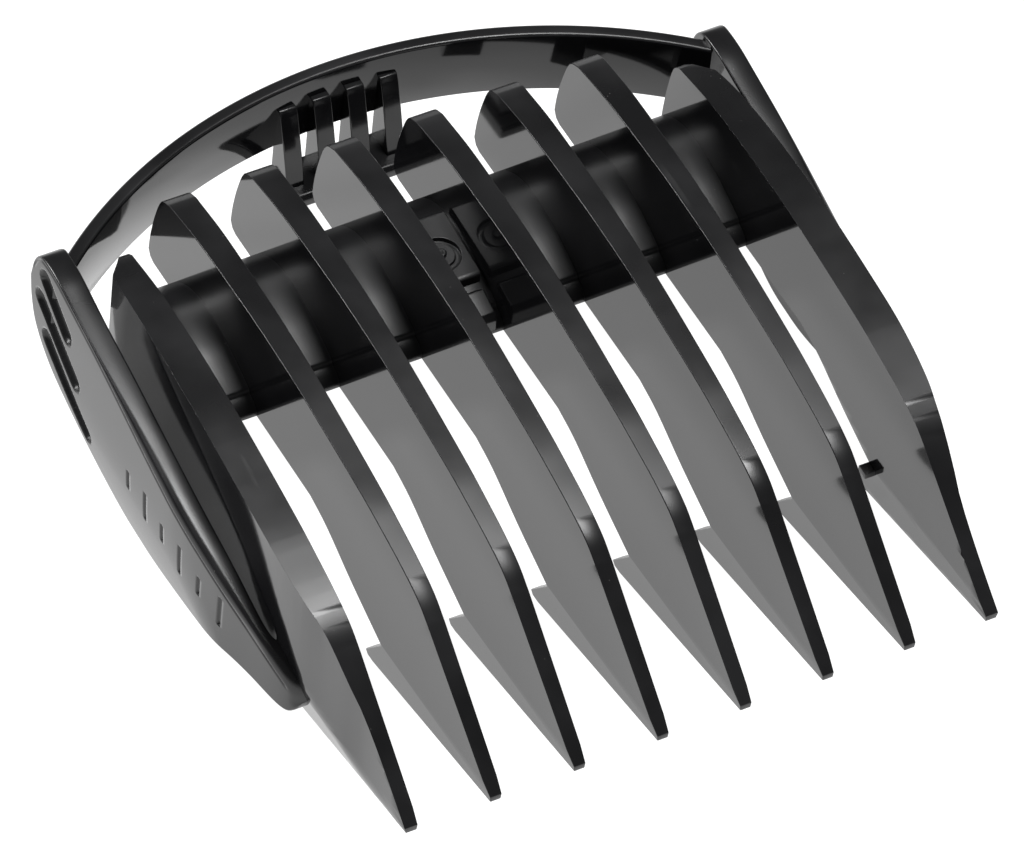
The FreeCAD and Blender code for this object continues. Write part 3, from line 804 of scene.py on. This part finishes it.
def armSurface(isOuter):
    ys = armStations()
    yy, zz, rim, sole = armGrid(ys, armRows(isOuter))
    outer = armFace(yy, zz, arm["planOut"], arm["barrelR"], arm["soften"])
    inner = armFace(yy, zz, arm["planIn"], arm["barrelR"] - arm["wall"], arm["soften"])
    most = arm["mostRound"] * (outer - inner)
    toRear = smoothStep((yy - arm["beadFrom"]) / arm["beadOver"])
    bead = arm["roundFront"] + (arm["roundRear"] - arm["roundFront"]) * toRear
    soleFall = quarterRound(sole, np.minimum(arm["roundSole"], most))
    if not isOuter:
        fall = quarterRound(rim, np.minimum(arm["roundRear"], most))
        return yy, zz, inner + np.maximum(fall, soleFall)
    fall = np.maximum(quarterRound(rim, np.minimum(bead, most)), soleFall)
    thin, thinOver = arm["grooveFull"]
    lift, liftOver = arm["grooveLift"]
    shallow = smoothStep((outer - inner - thin) / thinOver) * smoothStep((sole - lift) / liftOver)
    past = rim - bead - arm["groovePast"]
    line = np.exp(-(past / arm["grooveHalf"]) ** 2) * arm["grooveDepth"]
    return yy, zz, outer - fall - armMarks(yy, zz) - line * shallow


def makeArm(side):
    sign = -1 if side == "left" else 1
    verts = []
    faces = []
    edges = []
    for isOuter in (True, False):
        yy, zz, xx = armSurface(isOuter)
        columns, rows = yy.shape
        base = len(verts)
        for i in range(columns):
            verts += [(sign * xx[i, j], yy[i, j], zz[i, j]) for j in range(rows)]
        for i in range(columns - 1):
            for j in range(rows - 1):
                a = base + i * rows + j
                b = a + rows
                quad = (a, b, b + 1, a + 1)
                faces.append(quad if isOuter else quad[::-1])
        for last in (0, rows - 1):
            edges.append([base + i * rows + last for i in range(columns)])
    for one, other in ((edges[0], edges[2]), (edges[1], edges[3])):
        for i in range(len(one) - 1):
            faces.append((one[i], other[i], other[i + 1], one[i + 1]))
    piece = newObject("armSkin_" + side, verts, faces)
    outward(piece)
    piece.data.shade_smooth()
    piece.data.materials.append(armBlack)
    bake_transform(piece)
    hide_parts("root_" + side, "arm_" + side, "bow_root_" + side)


for sideName in ("left", "right"):
    makeArm(sideName)
print("arms made")


bow = {
    "radius": 36.505, "wall": 1.0, "height": 5.3, "top": 12.9, "corner": 37.59, "catch": 9.79,
    "intoArm": 42.4, "round": 0.24, "lineAt": 0.3, "lineWidth": 0.1, "lineDeep": 0.14,
    "degreesPerStep": 0.5, "blendDegrees": 2.4, "blendZ": 10.0, "sharpOver": 40,
    "lipDrop": 0.04, "lipRound": [(0.1, 0.04), (0.03, 0.07), (0.0, 0.14)],
}


def bowCentreY():
    return (cadHigh.y - cadLow.y) / mm - bow["wall"] / 2 - bow["radius"]


def roundedSection():
    # wall section, (outward, up), with a fine parting line cut in its top near the inner edge
    half = bow["wall"] / 2
    tall = bow["height"] / 2
    radius = bow["round"]
    points = []
    for cx, cz, start in ((half - radius, -tall + radius, -90), (half - radius, tall - radius, 0)):
        for k in range(6):
            a = math.radians(start + 90 * k / 5)
            points.append((cx + radius * math.cos(a), cz + radius * math.sin(a)))
    inner = bow["lineAt"] - half
    points += [(inner, tall), (inner - 0.2 * bow["lineWidth"], tall - bow["lineDeep"]),
               (inner - 0.8 * bow["lineWidth"], tall - bow["lineDeep"]),
               (inner - bow["lineWidth"], tall - bow["lipDrop"])]
    points += [(-half + inside, tall - drop) for inside, drop in bow["lipRound"]]
    for k in range(6):
        a = math.radians(180 + 90 * k / 5)
        points.append((-half + radius + radius * math.cos(a), -tall + radius + radius * math.sin(a)))
    return points


def buildBowTree():
    inputs = [("Radius", "Float"), ("From", "Float"), ("Sweep", "Float"), ("Points", "Int"),
              ("Centre", "Vector"), ("Material", "Material")]
    tree, start, end = treeFor("bowTree", inputs)
    arc = addNode(tree, "GeometryNodeCurveArc", mode="RADIUS")
    for label, socketName in (("Radius", "Radius"), ("From", "Start Angle"),
                              ("Sweep", "Sweep Angle"), ("Points", "Resolution")):
        tree.links.new(start.outputs[label], arc.inputs[socketName])
    level = addNode(tree, "GeometryNodeSetCurveNormal", mode="Z_UP")
    tree.links.new(arc.outputs["Curve"], level.inputs["Curve"])
    section = addNode(tree, "GeometryNodeMeshToCurve")
    tree.links.new(start.outputs["Geometry"], section.inputs["Mesh"])
    sweep = addNode(tree, "GeometryNodeCurveToMesh")
    sweep.inputs["Fill Caps"].default_value = True
    tree.links.new(level.outputs["Curve"], sweep.inputs["Curve"])
    tree.links.new(section.outputs["Curve"], sweep.inputs["Profile Curve"])
    move = addNode(tree, "GeometryNodeTransform")
    tree.links.new(sweep.outputs["Mesh"], move.inputs["Geometry"])
    tree.links.new(start.outputs["Centre"], move.inputs["Translation"])
    endTree(tree, start, end, move.outputs["Geometry"])
    return tree


bowTree = buildBowTree()


def bowPiece(name, degFrom, degTo):
    # degrees are measured from the rear centre, positive towards +X
    section = roundedSection()
    mesh = bpy.data.meshes.new(name)
    count = len(section)
    mesh.from_pydata([(u * mm, v * mm, 0) for u, v in section],
                     [(i, (i + 1) % count) for i in range(count)], [])
    piece = bpy.data.objects.new(name, mesh)
    bpy.context.scene.collection.objects.link(piece)
    sweep = degTo - degFrom
    centre = (0.0, (bowCentreY() + tipY) * mm, (bow["top"] - bow["height"] / 2) * mm)
    useTree(piece, bowTree, {
        "Radius": bow["radius"] * mm, "From": math.radians(90 - degTo),
        "Sweep": math.radians(sweep), "Points": int(sweep / bow["degreesPerStep"]) + 2,
        "Centre": centre, "Material": bowBlack,
    })
    bakeModifiers(piece)
    mesh = piece.data
    mesh.shade_smooth()
    mesh.set_sharp_from_angle(angle=math.radians(bow["sharpOver"]))
    return piece


def makeBow():
    half = (bow["corner"] + bow["catch"]) / 2
    piece = bowPiece("bowSkin_leftCorner", -bow["intoArm"], -half)
    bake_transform(piece)
    piece = bowPiece("bowSkin_left", -half, 0)
    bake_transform(piece)
    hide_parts("bow_left")
    piece = bowPiece("bowSkin_right", 0, half)
    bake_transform(piece)
    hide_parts("catch_band")
    piece = bowPiece("bowSkin_rightCorner", half, bow["intoArm"])
    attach(piece, "right_bow")
    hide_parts("bow_right")


makeBow()
print("bow made")


catchRibs = {
    "count": 4, "pitch": 2.48, "thickness": 1.3, "edge": 0.09, "intoBow": 0.6,
    "top": 11.1, "ledgeTop": 5.4, "bowFoot": 7.7,
    "front": [(0.45, 11.1), (0.75, 10.6), (1.35, 8.8), (1.9, 7.0)], "footDeep": 2.4,
    "intoLedge": 0.3,
}
ledge = {"half": 4.8, "deep": 3.4, "thick": 1.2, "bevel": 0.3, "edge": 0.12}


def buildRowTree():
    # repeats the incoming slab along X about the middle
    inputs = [("Count", "Int"), ("Pitch", "Float"), ("Material", "Material")]
    tree, start, end = treeFor("rowTree", inputs)
    line = addNode(tree, "GeometryNodeMeshLine", mode="OFFSET")
    tree.links.new(start.outputs["Count"], line.inputs["Count"])
    steps = mathNode(tree, "SUBTRACT", start.outputs["Count"], 1.0)
    first = mathNode(tree, "MULTIPLY", mathNode(tree, "MULTIPLY", steps, -0.5),
                     start.outputs["Pitch"])
    tree.links.new(vectorFrom(tree, first, 0.0, 0.0), line.inputs["Start Location"])
    tree.links.new(vectorFrom(tree, start.outputs["Pitch"], 0.0, 0.0), line.inputs["Offset"])
    copies = addNode(tree, "GeometryNodeInstanceOnPoints")
    tree.links.new(line.outputs[0], copies.inputs["Points"])
    tree.links.new(start.outputs["Geometry"], copies.inputs["Instance"])
    endTree(tree, start, end, copies.outputs["Instances"])
    return tree


def makeCatch():
    face = (cadHigh.y - cadLow.y) / mm - bow["wall"]
    top = catchRibs["top"]
    foot = catchRibs["ledgeTop"]
    sunk = foot - catchRibs["intoLedge"]
    outline = [(face + catchRibs["intoBow"], top)]
    outline += [(face - out, z) for out, z in catchRibs["front"]]
    outline += [(face - catchRibs["footDeep"], sunk), (face, sunk), (face, catchRibs["bowFoot"]),
                (face + catchRibs["intoBow"], catchRibs["bowFoot"])]
    half = catchRibs["thickness"] / 2
    ribs = prism("catchRibSkin", outline, -half, half, catchRibs["edge"], ribBlack)
    bakeModifiers(ribs)
    useTree(ribs, buildRowTree(), {"Count": catchRibs["count"], "Pitch": catchRibs["pitch"] * mm,
                                   "Material": ribBlack})
    bakeModifiers(ribs)
    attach(ribs, "catch")
    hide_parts(*["catch_rib_%d" % n for n in range(1, catchRibs["count"] + 1)])
    low = foot - ledge["thick"]
    bevel = ledge["bevel"]
    lip = face - ledge["deep"]
    shelf = [(face, foot), (lip + bevel, foot), (lip, foot - bevel),
             (lip, low + bevel), (lip + bevel, low), (face, low)]
    piece = prism("catchLedgeSkin", shelf, -ledge["half"], ledge["half"], ledge["edge"], ribBlack)
    bakeModifiers(piece)
    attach(piece, "catch")
    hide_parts("catch_ledge")


makeCatch()
print("catch made")


shot = {
    "azimuth": -32.85, "elevation": 48.87, "roll": 6.557, "distance": 0.6819,
    "lens": 374.14, "aim": (-2.403, -4.054, 9.4),
}


def makeCamera():
    a = math.radians(shot["azimuth"])
    e = math.radians(shot["elevation"])
    turn = math.radians(shot["roll"])
    ahead = Vector((-math.sin(a) * math.cos(e), math.cos(a) * math.cos(e), -math.sin(e)))
    right = Vector((math.cos(a), math.sin(a), 0))
    up = right.cross(ahead)
    tiltedRight = right * math.cos(turn) + up * math.sin(turn)
    tiltedUp = up * math.cos(turn) - right * math.sin(turn)
    data = bpy.data.cameras.new("camera")
    data.lens = shot["lens"]
    data.sensor_width = 36.0
    data.clip_start = 0.01
    data.clip_end = 20.0
    camera = bpy.data.objects.new("camera", data)
    axes = Matrix((tiltedRight, tiltedUp, -ahead)).transposed()
    place = Vector(shot["aim"]) * mm - ahead * shot["distance"]
    camera.matrix_world = Matrix.Translation(place) @ axes.to_4x4()
    bpy.context.scene.collection.objects.link(camera)
    bpy.context.scene.camera = camera


makeCamera()


stage = {
    "floorSize": 3.0, "floorColor": (0.25, 0.25, 0.25, 1.0), "floorGlow": 1.03,
    "horizon": 0.95, "zenith": 0.10, "fadeFrom": 0.02, "fadeTo": 0.45,
    "topBox": {"toward": (0.15, 0.0, 0.98), "far": 0.45, "size": 0.12, "watts": 1.3},
    "rearBox": {"toward": (-0.47, 0.55, 0.69), "far": 0.50, "size": 0.12, "watts": 1.6},
}


def softBox(name, toward, far, size, watts):
    data = bpy.data.lights.new(name, "AREA")
    data.shape = "RECTANGLE"
    data.size = size
    data.size_y = size
    data.energy = watts
    lamp = bpy.data.objects.new(name, data)
    way = Vector(toward).normalized()
    lamp.location = way * far
    lamp.rotation_mode = "QUATERNION"
    lamp.rotation_quaternion = way.to_track_quat("Z", "Y")
    bpy.context.scene.collection.objects.link(lamp)


def makeStage():
    half = stage["floorSize"] / 2
    mesh = bpy.data.meshes.new("floor")
    mesh.from_pydata([(-half, -half, cadLow.z), (half, -half, cadLow.z), (half, half, cadLow.z),
                      (-half, half, cadLow.z)], [], [(0, 1, 2, 3)])
    floor = bpy.data.objects.new("floor", mesh)
    bpy.context.scene.collection.objects.link(floor)
    material = bpy.data.materials.new("paleFloor")
    material.use_nodes = True
    shader = material.node_tree.nodes["Principled BSDF"]
    shader.inputs["Base Color"].default_value = stage["floorColor"]
    shader.inputs["Roughness"].default_value = 0.9
    shader.inputs["Specular IOR Level"].default_value = 0.0
    shader.inputs["Emission Color"].default_value = (1, 1, 1, 1)
    shader.inputs["Emission Strength"].default_value = stage["floorGlow"]
    mesh.materials.append(material)
    world = bpy.data.worlds.new("studioAir")
    bpy.context.scene.world = world
    world.use_nodes = True
    tree = world.node_tree
    parts = addNode(tree, "ShaderNodeSeparateXYZ")
    coords = addNode(tree, "ShaderNodeTexCoord")
    tree.links.new(coords.outputs["Generated"], parts.inputs[0])
    strength = rangeNode(tree, parts.outputs["Z"], stage["fadeFrom"], stage["fadeTo"],
                         stage["horizon"], stage["zenith"])
    tree.links.new(strength, tree.nodes["Background"].inputs["Strength"])
    tree.nodes["Background"].inputs["Color"].default_value = (1, 1, 1, 1)
    for name in ("topBox", "rearBox"):
        softBox(name, **stage[name])
    bpy.context.scene.view_settings.view_transform = "Standard"


makeStage()
print("stage ready")
